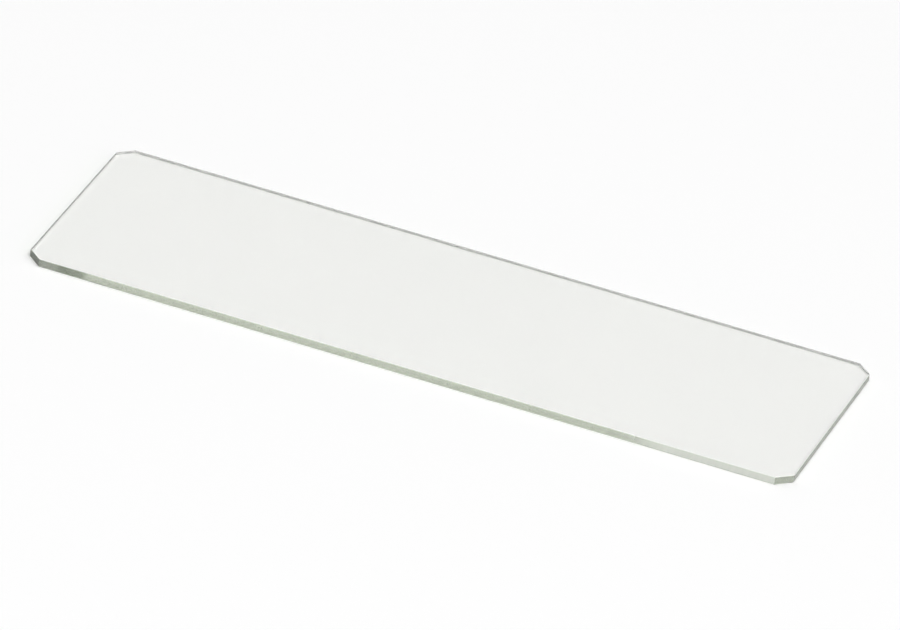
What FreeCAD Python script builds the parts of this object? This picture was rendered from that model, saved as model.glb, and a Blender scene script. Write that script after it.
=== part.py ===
"""Microscope slide: one plain piece of soda-lime sheet glass with clipped corners and ground edges.

Frame: millimetres, +X along the length, +Y across the width, +Z up through the thickness.
The origin is the centre of the bottom face, the face that lies on a stage or a bench.
"""
import FreeCAD, Part
import os
import Sketcher

UP = FreeCAD.Vector(0, 0, 1)
PARALLEL_WITHIN = 1e-6  # radians

doc = FreeCAD.newDocument("microscope_slide")

# ---- driving dimensions, in millimetres
sizes = doc.addObject("Spreadsheet::Sheet", "Sizes")
DRIVING_SIZES = [
    # alias, size, what it is on the slide
    ("slide_length", 75.0, "long side of the sheet"),
    ("slide_width", 25.0, "short side of the sheet"),
    ("glass_thickness", 0.8, "from one polished face to the other"),
    ("corner_clip", 1.4, "leg of the 45 degree cut across each corner"),
    ("edge_arris", 0.05, "leg of the 45 degree bevel ground along every edge, above and below"),
]
for row, (alias, size, meaning) in enumerate(DRIVING_SIZES, start=1):
    sizes.set(f"A{row}", meaning)
    sizes.set(f"B{row}", str(size))
    sizes.setAlias(f"B{row}", alias)
doc.recompute()


# ---- helpers
def origin_plane(body, role):
    """The plane of a body's own origin that has this role, such as XY_Plane."""
    return next(plane for plane in body.Origin.OriginFeatures if plane.Role == role)


def upright_edges(shape):
    """Names of the straight edges that run through the thickness, one at each corner."""
    return [
        f"Edge{number}"
        for number, edge in enumerate(shape.Edges, start=1)
        if edge.tangentAt(edge.FirstParameter).isParallel(UP, PARALLEL_WITHIN)
    ]


def level_faces(shape):
    """Names of the two polished faces, top and bottom."""
    return [
        f"Face{number}"
        for number, face in enumerate(shape.Faces, start=1)
        if face.normalAt(0, 0).isParallel(UP, PARALLEL_WITHIN)
    ]


def draw_centred_rectangle(sketch, length_alias, width_alias):
    """Draw a rectangle centred on the sketch's origin, its two sizes bound to cells of the sheet."""
    half_length = sizes.get(length_alias) / 2
    half_width = sizes.get(width_alias) / 2
    corners = [
        FreeCAD.Vector(-half_length, -half_width, 0),
        FreeCAD.Vector(half_length, -half_width, 0),
        FreeCAD.Vector(half_length, half_width, 0),
        FreeCAD.Vector(-half_length, half_width, 0),
    ]
    sides = [
        sketch.addGeometry(Part.LineSegment(corner, next_corner), False)
        for corner, next_corner in zip(corners, corners[1:] + corners[:1])
    ]
    front, right, back, left = sides

    # A constraint names a line's start as its point 1 and its end as 2. The sketch's origin is -1, 1.
    start, end = 1, 2
    for side, next_side in zip(sides, sides[1:] + sides[:1]):
        sketch.addConstraint(Sketcher.Constraint("Coincident", side, end, next_side, start))
    for side in (front, back):
        sketch.addConstraint(Sketcher.Constraint("Horizontal", side))
    for side in (right, left):
        sketch.addConstraint(Sketcher.Constraint("Vertical", side))
    sketch.addConstraint(Sketcher.Constraint("Symmetric", front, start, back, start, -1, 1))
    for kind, side, alias in (("DistanceX", front, length_alias), ("DistanceY", right, width_alias)):
        driven = sketch.addConstraint(Sketcher.Constraint(kind, side, start, side, end, sizes.get(alias)))
        sketch.setExpression(f"Constraints[{driven}]", f"Sizes.{alias}")


# ---- the slide, made in the order the real one is: cut from sheet, corners clipped, edges ground
def build_glass_slide():
    """One pane of glass, lying flat with its bottom face on the XY plane."""
    body = doc.addObject("PartDesign::Body", "glass_slide")
    body.Label = "glass_slide"
    body.Placement = FreeCAD.Placement()

    outline = body.newObject("Sketcher::SketchObject", "cut_outline")
    outline.AttachmentSupport = [(origin_plane(body, "XY_Plane"), "")]
    outline.MapMode = "FlatFace"
    draw_centred_rectangle(outline, "slide_length", "slide_width")

    sheet = body.newObject("PartDesign::Pad", "sheet")
    sheet.Profile = outline
    sheet.setExpression("Length", "Sizes.glass_thickness")
    doc.recompute()

    clipped = body.newObject("PartDesign::Chamfer", "clipped_corners")
    clipped.Base = (sheet, upright_edges(sheet.Shape))
    clipped.setExpression("Size", "Sizes.corner_clip")
    doc.recompute()

    ground = body.newObject("PartDesign::Chamfer", "ground_arrises")
    ground.Base = (clipped, level_faces(clipped.Shape))
    ground.setExpression("Size", "Sizes.edge_arris")
    doc.recompute()
    return body


subparts = [build_glass_slide()]

# ---- check everything before anything is written
for item in doc.Objects:
    if {"Invalid", "Error"} & set(item.State):
        raise RuntimeError(f"{item.Label} did not recompute: {item.State}")
for subpart in subparts:
    if subpart.Shape.isNull() or not subpart.Shape.isValid():
        raise RuntimeError(f"{subpart.Label} has no valid shape")

os.makedirs("parts", exist_ok=True)
for subpart in subparts:
    subpart.Shape.exportStep(f"parts/{subpart.Label}.step")
    bounds = subpart.Shape.BoundBox
    print(
        f"{subpart.Label}: {len(subpart.Shape.Solids)} solid, {len(subpart.Shape.Faces)} faces,"
        f" {bounds.XLength:.2f} x {bounds.YLength:.2f} x {bounds.ZLength:.2f} mm,"
        f" {subpart.Shape.Volume:.1f} cubic mm"
    )
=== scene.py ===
# %% [markdown]
# # A microscope slide
#
# A plain slide is one pane of soda-lime glass. Its two large faces are as smooth as the float bath
# left them. All the character is at the rim: the sides and the four clipped corners were run
# against a wheel, so they are ground to a satin grey, and they gather the green that a look
# straight through the pane is too short to show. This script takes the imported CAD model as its
# fixed frame, models the pane again as one clean closed mesh, gives it real glass, and lights it as
# a product shot.

import collections
import math

import bmesh
import bpy
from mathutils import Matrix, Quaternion, Vector


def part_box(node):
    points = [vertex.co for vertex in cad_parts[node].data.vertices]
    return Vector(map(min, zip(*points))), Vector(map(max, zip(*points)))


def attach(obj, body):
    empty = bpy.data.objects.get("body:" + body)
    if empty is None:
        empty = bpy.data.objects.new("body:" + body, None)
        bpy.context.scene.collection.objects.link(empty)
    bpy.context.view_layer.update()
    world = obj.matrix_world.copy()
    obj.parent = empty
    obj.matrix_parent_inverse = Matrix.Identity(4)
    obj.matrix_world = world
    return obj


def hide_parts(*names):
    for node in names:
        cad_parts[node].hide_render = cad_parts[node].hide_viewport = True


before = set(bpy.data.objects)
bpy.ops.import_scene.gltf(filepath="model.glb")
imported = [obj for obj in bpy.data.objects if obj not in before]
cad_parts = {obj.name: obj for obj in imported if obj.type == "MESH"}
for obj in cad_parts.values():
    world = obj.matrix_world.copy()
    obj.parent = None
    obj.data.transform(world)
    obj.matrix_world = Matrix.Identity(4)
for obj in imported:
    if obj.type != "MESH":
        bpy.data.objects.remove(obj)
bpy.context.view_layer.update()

# %% [markdown]
# ## Sizes, read from the frame
#
# Every size comes from the CAD node, so that the new mesh is the same part. Its box gives the length,
# width and thickness. The polished top stops one arris short of the box, and the flat of an end stops
# one corner clip short of it, so both can be read from the node's own points.

# %% Measure the CAD node
NODE = "glass_slide"
SAME_PLACE = 1e-6  # metres: closer than this is the same height or the same side
MM = 1e3  # millimetres in a metre, for printing

low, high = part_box(NODE)
size = high - low
middle = (low + high) / 2
points = [vertex.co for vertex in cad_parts[NODE].data.vertices]
arris = high.y - max(point.y for point in points if high.z - point.z < SAME_PLACE)
corner_clip = high.y - max(point.y for point in points if high.x - point.x < SAME_PLACE)
print(f"slide {size.x * MM:.2f} x {size.y * MM:.2f} x {size.z * MM:.2f} mm,"
      f" clip {corner_clip * MM:.2f} mm, arris {arris * MM:.3f} mm")

# %% [markdown]
# ## The pane
#
# The pane could be an extruded outline, but working in the glazier's order is shorter and keeps every
# face flat: start from a block, cut the four upright edges away for the corners, then take the edge
# off the outline above and below. Each cut is a bevel with one segment, which is a flat chamfer. A
# wheel never leaves a knife edge, so the ridges between ground faces get a last, very small round.

# %% Cut the pane
UPRIGHT = 0.99  # a direction whose Z is at least this runs straight up or down
RIDGE_ROUND = 0.00001  # metres: how far the last round reaches from a ridge
RIDGE_TURN = math.radians(6)  # a ridge turns the surface by more than this
ROUND_PROFILE = 0.5  # a bevel with this profile is part of a circle


def is_polished(face):
    """True for the large top and bottom faces, which are never ground."""
    return abs(face.normal.z) > UPRIGHT


def is_rim(edge):
    """True for an edge round the outline of a polished face."""
    return any(is_polished(face) for face in edge.link_faces)


def runs_upright(edge):
    """True for an edge that runs straight through the thickness."""
    start, end = edge.verts
    return abs((end.co - start.co).normalized().z) > UPRIGHT


def bevel(pane, edges, reach, segments=1):
    """Replace edges by a flat or rounded bevel that reaches this far along the faces beside them."""
    bmesh.ops.bevel(pane, geom=edges, offset=reach, offset_type="OFFSET", segments=segments,
                    profile=ROUND_PROFILE, affect="EDGES", material=-1)
    pane.normal_update()


pane = bmesh.new()
bmesh.ops.create_cube(pane, size=1.0)
bmesh.ops.scale(pane, vec=size, verts=pane.verts)
bmesh.ops.translate(pane, vec=middle, verts=pane.verts)
pane.normal_update()
bevel(pane, [edge for edge in pane.edges if runs_upright(edge)], corner_clip)
bevel(pane, [edge for edge in pane.edges if is_rim(edge)], arris)
ridges = [edge for edge in pane.edges if not is_rim(edge) and edge.calc_face_angle() > RIDGE_TURN]
bevel(pane, ridges, RIDGE_ROUND, segments=2)
print("pane:", len(pane.verts), "points,", len(pane.faces), "faces, closed:",
      all(len(edge.link_faces) == 2 for edge in pane.edges))

# %% [markdown]
# ## Which faces are ground, and how
#
# The finish changes at a sharp line, where the polished face meets the arris. Two material slots
# would draw that line, but the body of the glass has to be one medium all through, and a path tracer
# only knows that it has left the glass when it leaves by the material that it came in by. So the
# pane keeps one material, and each face carries a few numbers that the material reads. They are set
# by how each face should look, not measured. The upper arris is white with frost. The lower one is
# bedded on whatever the slide lies on. The corners let the least light through, and least of all
# where they are seen aslant.

# %% Mark the faces with their finish
LAYERS = ("ground", "bedded", "frost", "passed", "mirrored", "aslant")
SLANTING = 0.1  # a corner's face looks at least this much along X and along Y
UPWARD = 0.5  # an arris looks at least this much up or down
FINISHES = {
    # finish: ground, bedded, then shares: frost, light let through, mirrored, lost if seen aslant
    "polished": (0.0, 0.0, 0.0, 1.0, 1.0, 0.0),
    "upper arris": (1.0, 0.0, 0.87, 1.0, 0.80, 0.0),
    "lower arris": (0.0, 1.0, 0.0, 1.0, 1.0, 0.0),
    "side": (1.0, 0.0, 0.11, 0.97, 0.80, 0.0),
    "end": (1.0, 0.0, 0.065, 1.0, 0.66, 0.0),
    "corner": (1.0, 0.0, 0.025, 0.62, 0.88, 0.92),
}


def finish_of(normal):
    """The name of the finish on a face that looks this way."""
    if abs(normal.z) > UPRIGHT:
        return "polished"
    if abs(normal.z) > UPWARD:
        return "upper arris" if normal.z > 0 else "lower arris"
    if min(abs(normal.x), abs(normal.y)) > SLANTING:
        return "corner"
    return "end" if abs(normal.x) > abs(normal.y) else "side"


layers = [pane.faces.layers.float.new(name) for name in LAYERS]
for face in pane.faces:
    for layer, number in zip(layers, FINISHES[finish_of(face.normal)]):
        face[layer] = number
finish_counts = collections.Counter(finish_of(face.normal) for face in pane.faces)
print("faces of each finish:", dict(finish_counts))

# %% [markdown]
# ## One object for the slide
#
# The mesh already stands where the CAD says, so its object stays at the origin, unturned and
# unscaled. It rides on the only body, it stands in for the CAD node, and it takes the slide's glass.

# %% Make the slide
mesh = bpy.data.meshes.new("slide_pane")
pane.to_mesh(mesh)
pane.free()
slide = bpy.data.objects.new("slide_pane", mesh)
bpy.context.scene.collection.objects.link(slide)
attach(slide, "root")
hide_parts(NODE)
print("slide_pane:", len(mesh.vertices), "points")

# %% [markdown]
# ## Shader maths as Python
#
# A material is a tree of nodes, and its maths soon gets hard to read as a list of links. This small
# class holds one socket of a tree. A sum or a product of two of them adds the Math node that does it,
# and the node method adds any other from its type, its settings, and what its sockets are given.


# %% A class for sockets
class Wire:
    """One output of a node. Arithmetic on it adds Math nodes to its tree."""

    def __init__(self, tree, socket=None):
        self.tree = tree
        self.socket = socket

    def node(self, kind, settings=None, sockets=None, output=0):
        """Add a node. Its settings come first, because they can change which sockets it has."""
        new = self.tree.nodes.new(kind)
        for name, value in (settings or {}).items():
            setattr(new, name, value)
        for name, value in (sockets or {}).items():
            if isinstance(value, Wire):
                self.tree.links.new(value.socket, new.inputs[name])
            else:
                new.inputs[name].default_value = value
        return Wire(self.tree, new.outputs[output] if len(new.outputs) else None)

    def maths(self, operation, first, second):
        return self.node("ShaderNodeMath", {"operation": operation}, {0: first, 1: second})

    def __add__(self, other):
        return self.maths("ADD", self, other)

    def __sub__(self, other):
        return self.maths("SUBTRACT", self, other)

    def __rsub__(self, other):
        return self.maths("SUBTRACT", other, self)

    def __mul__(self, other):
        return self.maths("MULTIPLY", self, other)

    __radd__ = __add__
    __rmul__ = __mul__


def empty_tree(owner):
    """Turn on the nodes of a material or a world and clear them."""
    owner.use_nodes = True
    owner.node_tree.nodes.clear()
    return Wire(owner.node_tree)


# %% [markdown]
# ## The colour of the glass
#
# Soda-lime glass is faintly green, from the iron in its sand. Through 0.8 mm nobody sees it, but edge
# on the light has crossed the whole width. A tinted surface would look the same through the face as
# through the edge, so the green is absorption inside the body instead: it is set by how much of each
# colour is left after one slide width, and Beer's law gives the rest.

# %% Absorption inside the body
LEFT_AFTER_WIDTH = (0.885, 0.96, 0.825)  # shares of red, green and blue
DENSITY_MARGIN = 1.25  # the density is this much above the most absorbed colour's

taken_per_metre = [-math.log(left) / size.y for left in LEFT_AFTER_WIDTH]
body_density = DENSITY_MARGIN * max(taken_per_metre)
body_colour = tuple(1 - taken / body_density for taken in taken_per_metre) + (1.0,)
print("absorbed per metre:", [round(taken, 1) for taken in taken_per_metre])

# %% [markdown]
# ## The ground edge
#
# A ground edge is a field of fine scratches that run along it, since that is how it passes the wheel.
# Light that crosses them is spread up and down more than sideways, so the surface normal is tilted
# along Z by a very fine noise, and the shader's own roughness stays low. A Glass shader would give
# what goes through and what is mirrored the same strength, but the pits of a ground edge swallow
# some of each. So the two are a Refraction and a Glossy shader, each mixed with the dark of the pits,
# and the Fresnel node shares the light out between them. From inside, past 41 degrees, it mirrors
# all. Over both lies the frost. It is pale and dull. Over the right fifth of the slide it is made
# much
# thicker, so the rim is lighter there: a painted glow, which stands in for light that enters by the
# right end. It shows only from outside. That is a liberty, which keeps the far edges thin and light
# where they are seen through the pane.

# %% Pattern and shader of the ground edge
GLASS_IOR = 1.52
GROUND_ROUGHNESS = 0.15
PIT_COLOUR = (0.0, 0.0, 0.0, 1.0)
FROST_COLOUR = (0.86, 0.87, 0.84, 1.0)
FROST_ROUGHNESS = 0.55
SCRATCH_TILT = 0.3  # how far the scratches tilt the surface up or down
SCRATCH_PITCH = 0.000004  # metres between scratches, up the edge
SCRATCH_RUN = 0.0004  # metres that a scratch runs along the edge
MOTTLE_SIZE = 0.003  # metres from one slow change in the grind to the next
MOTTLE_DEPTH = 0.04  # how much the change shows in the roughness and in the frost
NOISE_MIDDLE = 0.5  # the noise swings up and down about this
PAINTED_GLOW_FROM, PAINTED_GLOW_AT = 0.020, 0.026  # metres right of the middle: the painted glow of extra frost grows between these
PAINTED_GLOW_BY = 5.0  # times as much frost to the right of both, a painted glow that lightens the rim there


def noise(place, scale, detail=2.0):
    """A pattern of numbers between 0 and 1, stretched by a scale along each axis."""
    stretched = place.node("ShaderNodeMapping", None, {"Vector": place, "Scale": scale})
    return place.node("ShaderNodeTexNoise", None, {
        "Vector": stretched, "Scale": 1.0, "Detail": detail})


def ramp(value, start, end, low_value, high_value):
    """A smooth change from one value to another as the first goes from start to end."""
    return value.node("ShaderNodeMapRange", {"interpolation_type": "SMOOTHSTEP"}, {
        "Value": value, "From Min": start, "From Max": end,
        "To Min": low_value, "To Max": high_value})


def scratched_normal(scratches):
    """The surface normal, tilted up or down by the scratches."""
    flat = scratches.node("ShaderNodeNewGeometry", output="Normal")
    tilt = scratches.node("ShaderNodeCombineXYZ", None, {
        "Z": SCRATCH_TILT * (scratches - NOISE_MIDDLE)})
    tilted = scratches.node("ShaderNodeVectorMath", {"operation": "ADD"}, {0: flat, 1: tilt})
    return scratches.node("ShaderNodeVectorMath", {"operation": "NORMALIZE"}, {0: tilted})


def ground_edge(place, frost_share, passed, mirrored, aslant):
    """Satin ground glass: light through it, light mirrored in it, and some pale frost over both."""
    scratches = noise(place, (1 / SCRATCH_RUN, 1 / SCRATCH_RUN, 1 / SCRATCH_PITCH), detail=0.0)
    change = MOTTLE_DEPTH * (noise(place, (1 / MOTTLE_SIZE,) * 3) - NOISE_MIDDLE)
    normal = {"Normal": scratched_normal(scratches)}
    grind = normal | {"Roughness": GROUND_ROUGHNESS + change}
    pits = place.node("ShaderNodeBsdfDiffuse", None, {"Color": PIT_COLOUR})
    window = place.node("ShaderNodeBsdfRefraction", None, grind | {"IOR": GLASS_IOR})
    mirror = place.node("ShaderNodeBsdfGlossy", None, grind)
    slant = place.node("ShaderNodeLayerWeight", output="Facing")
    seen = passed * (1.0 - aslant * slant)
    through = place.node("ShaderNodeMixShader", None, {0: seen, 1: pits, 2: window})
    back = place.node("ShaderNodeMixShader", None, {0: mirrored, 1: pits, 2: mirror})
    angle = place.node("ShaderNodeFresnel", None, normal | {"IOR": GLASS_IOR})
    clear = place.node("ShaderNodeMixShader", None, {0: angle, 1: through, 2: back})
    frost = place.node("ShaderNodeBsdfPrincipled", None, normal | {
        "Base Color": FROST_COLOUR, "Roughness": FROST_ROUGHNESS})
    along = place.node("ShaderNodeSeparateXYZ", None, {"Vector": place}, output="X")
    # Painted glow: much more pale frost over the right fifth lightens the rim there, standing in for
    # light that enters by the right end.
    painted_glow = ramp(along, PAINTED_GLOW_FROM, PAINTED_GLOW_AT, 1.0, PAINTED_GLOW_BY)
    inside = place.node("ShaderNodeNewGeometry", output="Backfacing")
    cover = place.node("ShaderNodeMath", {"operation": "MULTIPLY", "use_clamp": True}, {
        0: 1.0 - inside, 1: frost_share * painted_glow + change})
    return place.node("ShaderNodeMixShader", None, {0: cover, 1: clear, 2: frost})


# %% [markdown]
# ## The whole material
#
# The polished faces need nothing but clear glass with no roughness at all, and the faintest warm
# cast, such as a trace of tin from the float bath might give. The lower arris would draw a dark line
# round the slide, so it bends no light: an index of refraction of 1 lets the eye straight through.
# That is another liberty. It suits a slide that lies on something white. The face numbers choose
# between these and the ground edge, and the absorption fills the body.

# %% Slide glass
TIN_CAST = (1.0, 1.0, 0.997, 1.0)
UNSEEN_IOR = 1.0


def slide_glass():
    """Clear glass on the polished faces, ground glass round the rim, and one green body."""
    material = bpy.data.materials.new("slide_glass")
    tree = empty_tree(material)
    place = tree.node("ShaderNodeTexCoord", output="Object")
    ground, bedded, *finish = [
        tree.node("ShaderNodeAttribute", {"attribute_name": name}, output="Fac") for name in LAYERS]
    polished = tree.node("ShaderNodeBsdfGlass", None, {
        "Color": TIN_CAST, "Roughness": 0.0, "IOR": GLASS_IOR})
    unseen = tree.node("ShaderNodeBsdfRefraction", None, {"Roughness": 0.0, "IOR": UNSEEN_IOR})
    clear = tree.node("ShaderNodeMixShader", None, {0: bedded, 1: polished, 2: unseen})
    rim = ground_edge(place, *finish)
    surface = tree.node("ShaderNodeMixShader", None, {0: ground, 1: clear, 2: rim})
    body = tree.node("ShaderNodeVolumeAbsorption", None, {"Color": body_colour,
                                                          "Density": body_density})
    tree.node("ShaderNodeOutputMaterial", None, {"Surface": surface, "Volume": body})
    return material


mesh.materials.append(slide_glass())
print("materials:", [material.name for material in mesh.materials])

# %% [markdown]
# ## The floor
#
# A wide white sheet, dull, so that the slide is the only thing with a shine. It lies a hair under the
# slide, because two faces in the same place would fight, and it stops just short of pure white.

# %% Lay the floor
FLOOR_REACH = 30.0  # metres from the middle to each side
FLOOR_GAP = 0.00002  # metres under the slide
FLOOR_WHITE = 0.965


def white_sheet():
    """Dull white paper."""
    material = bpy.data.materials.new("floor_paper")
    tree = empty_tree(material)
    paper = tree.node("ShaderNodeBsdfPrincipled", None, {
        "Base Color": (FLOOR_WHITE, FLOOR_WHITE, FLOOR_WHITE, 1.0), "Roughness": 1.0,
        "Specular IOR Level": 0.0})
    tree.node("ShaderNodeOutputMaterial", None, {"Surface": paper})
    return material


sheet = bmesh.new()
bmesh.ops.create_grid(sheet, x_segments=1, y_segments=1, size=FLOOR_REACH)
bmesh.ops.translate(sheet, vec=(0, 0, low.z - FLOOR_GAP), verts=sheet.verts)
floor_mesh = bpy.data.meshes.new("floor")
sheet.to_mesh(floor_mesh)
sheet.free()
floor_mesh.materials.append(white_sheet())
floor = bpy.data.objects.new("floor", floor_mesh)
bpy.context.scene.collection.objects.link(floor)

# %% [markdown]
# ## The studio
#
# Glass shows what stands round it, so the studio matters as much as the lamps. Directions are given
# as an azimuth, turned from the front towards the right, and an elevation above the floor.


# %% Directions
def direction(azimuth, elevation):
    """Unit vector from the slide. Azimuth 0 is the front, -Y, and 90 the right, +X, in degrees."""
    turn, lift = math.radians(azimuth), math.radians(elevation)
    return Vector((math.sin(turn) * math.cos(lift), -math.cos(turn) * math.cos(lift), math.sin(lift)))


# %% [markdown]
# ## The room
#
# A studio for glass is kept dark round the lamps, since every bright wall would wash over the faces.
# This one is dark grey from the horizon up, with a paler ceiling and three soft patches. A faint glow
# on the far side is what the top face mirrors for the camera. A white reflector card on the right
# lights the right end and the near corner, and a smaller one at the far left is what that corner
# looks at, right through the glass. Just at the horizon the room is white, so that the floor runs out
# into white in a low view.

# %% Light from the room
ROOM_GREY = 0.12
CEILING_GREY = 0.5
CEILING_STARTS, CEILING_FULL = 45.0, 75.0  # elevations in degrees
HORIZON_TOP, HORIZON_FADE = 4.0, 8.0  # white up to the first, grey from the second, in degrees
PATCHES = [
    # azimuth, elevation, angle out to full grey, angle out to none, grey
    (195.0, 28.0, 10.0, 32.0, 0.2),
    (75.0, 32.0, 20.0, 40.0, 1.0),
    (229.0, 28.0, 6.0, 22.0, 1.0),
]


def climb(height, start, end, low_value, high_value):
    """A smooth change between two elevations, in degrees, from the Z of a direction."""
    return ramp(height, math.sin(math.radians(start)), math.sin(math.radians(end)),
                low_value, high_value)


def patch(way, azimuth, elevation, inner, outer, grey):
    """The light that a soft round patch on the wall adds to the grey of the room."""
    nearness = way.node("ShaderNodeVectorMath", {"operation": "DOT_PRODUCT"}, {
        0: way, 1: direction(azimuth, elevation)}, output="Value")
    return ramp(nearness, math.cos(math.radians(outer)), math.cos(math.radians(inner)),
                0.0, grey - ROOM_GREY)


room = bpy.data.worlds.new("studio_room")
bpy.context.scene.world = room
tree = empty_tree(room)
way = tree.node("ShaderNodeTexCoord", output="Generated")
height = tree.node("ShaderNodeSeparateXYZ", None, {"Vector": way}, output="Z")
walls = climb(height, CEILING_STARTS, CEILING_FULL, ROOM_GREY, CEILING_GREY)
for numbers in PATCHES:
    walls = walls + patch(way, *numbers)
above = climb(height, HORIZON_TOP, HORIZON_FADE, 0.0, 1.0)
light = (1.0 - above) + above * walls
sky = tree.node("ShaderNodeBackground", None, {"Color": light, "Strength": 1.0})
tree.node("ShaderNodeOutputWorld", None, {"Surface": sky})
print("room:", room.name)

# %% [markdown]
# ## The lamps
#
# The main light is one soft box, high up at the front right. It comes from the camera's side, so that
# the far edge shades none of the floor that the camera sees through the glass. A weaker one behind
# softens its shadow. Neither hangs where the slide's face would mirror it into the camera. An area
# lamp's power is spread over its size, so the power is worked out from the brightness it should show.

# %% Hang the soft boxes
SOFT_BOXES = [
    # name, azimuth, elevation, distance, width, height, brightness
    ("soft_box_main", 28.0, 66.0, 2.0, 1.6, 1.4, 3.68),
    ("soft_box_back", 180.0, 70.0, 2.0, 2.4, 1.0, 0.75),
]


def hang_soft_box(name, azimuth, elevation, distance, width, height, brightness):
    """A rectangular area lamp that faces the slide."""
    lamp = bpy.data.lights.new(name, "AREA")
    lamp.shape = "RECTANGLE"
    lamp.size, lamp.size_y = width, height
    lamp.energy = brightness * width * height * math.pi
    box = bpy.data.objects.new(name, lamp)
    towards = direction(azimuth, elevation)
    box.location = towards * distance
    box.rotation_mode = "QUATERNION"
    box.rotation_quaternion = towards.to_track_quat("Z", "Y")
    bpy.context.scene.collection.objects.link(box)
    print(f"{name}: {lamp.energy:.1f} W")


for soft_box in SOFT_BOXES:
    hang_soft_box(*soft_box)

# %% [markdown]
# ## The camera
#
# A long lens from more than a metre away, as for a catalogue shot: the sides stay almost parallel.
# It looks at the middle of the slide from the front, a little to the right, and it is rolled so that
# the slide lies slanting across the frame.

# %% Place the camera
CAMERA_AZIMUTH, CAMERA_ELEVATION, CAMERA_ROLL = 15.4, 28.35, 9.0  # degrees
CAMERA_DISTANCE = 1.263  # metres
CAMERA_LENS, CAMERA_SENSOR = 548.0, 36.0  # millimetres

camera = bpy.data.cameras.new("camera")
camera.lens = CAMERA_LENS
camera.sensor_width = CAMERA_SENSOR
tripod = bpy.data.objects.new("camera", camera)
towards_camera = direction(CAMERA_AZIMUTH, CAMERA_ELEVATION)
tripod.location = middle + towards_camera * CAMERA_DISTANCE
tripod.rotation_mode = "QUATERNION"
roll = Quaternion((0, 0, 1), math.radians(CAMERA_ROLL))
tripod.rotation_quaternion = towards_camera.to_track_quat("Z", "Y") @ roll
bpy.context.scene.collection.objects.link(tripod)
bpy.context.scene.camera = tripod
print("camera at", [round(value, 3) for value in tripod.location])

# %% [markdown]
# ## Light inside glass
#
# Light that enters an edge bounces between the faces dozens of times on its way across, so paths
# must be allowed to be long. Filter Glossy is off: it would blur the polished faces for light that
# has touched the floor, and the floor under the glass would go dark. Colours go out as they are.

# %% Path lengths and view
LIGHT_BOUNCES = 48

scene = bpy.context.scene
scene.cycles.blur_glossy = 0.0
scene.cycles.max_bounces = LIGHT_BOUNCES
scene.cycles.transmission_bounces = LIGHT_BOUNCES
scene.cycles.glossy_bounces = LIGHT_BOUNCES
scene.view_settings.view_transform = "Standard"
print("bounces:", scene.cycles.max_bounces)
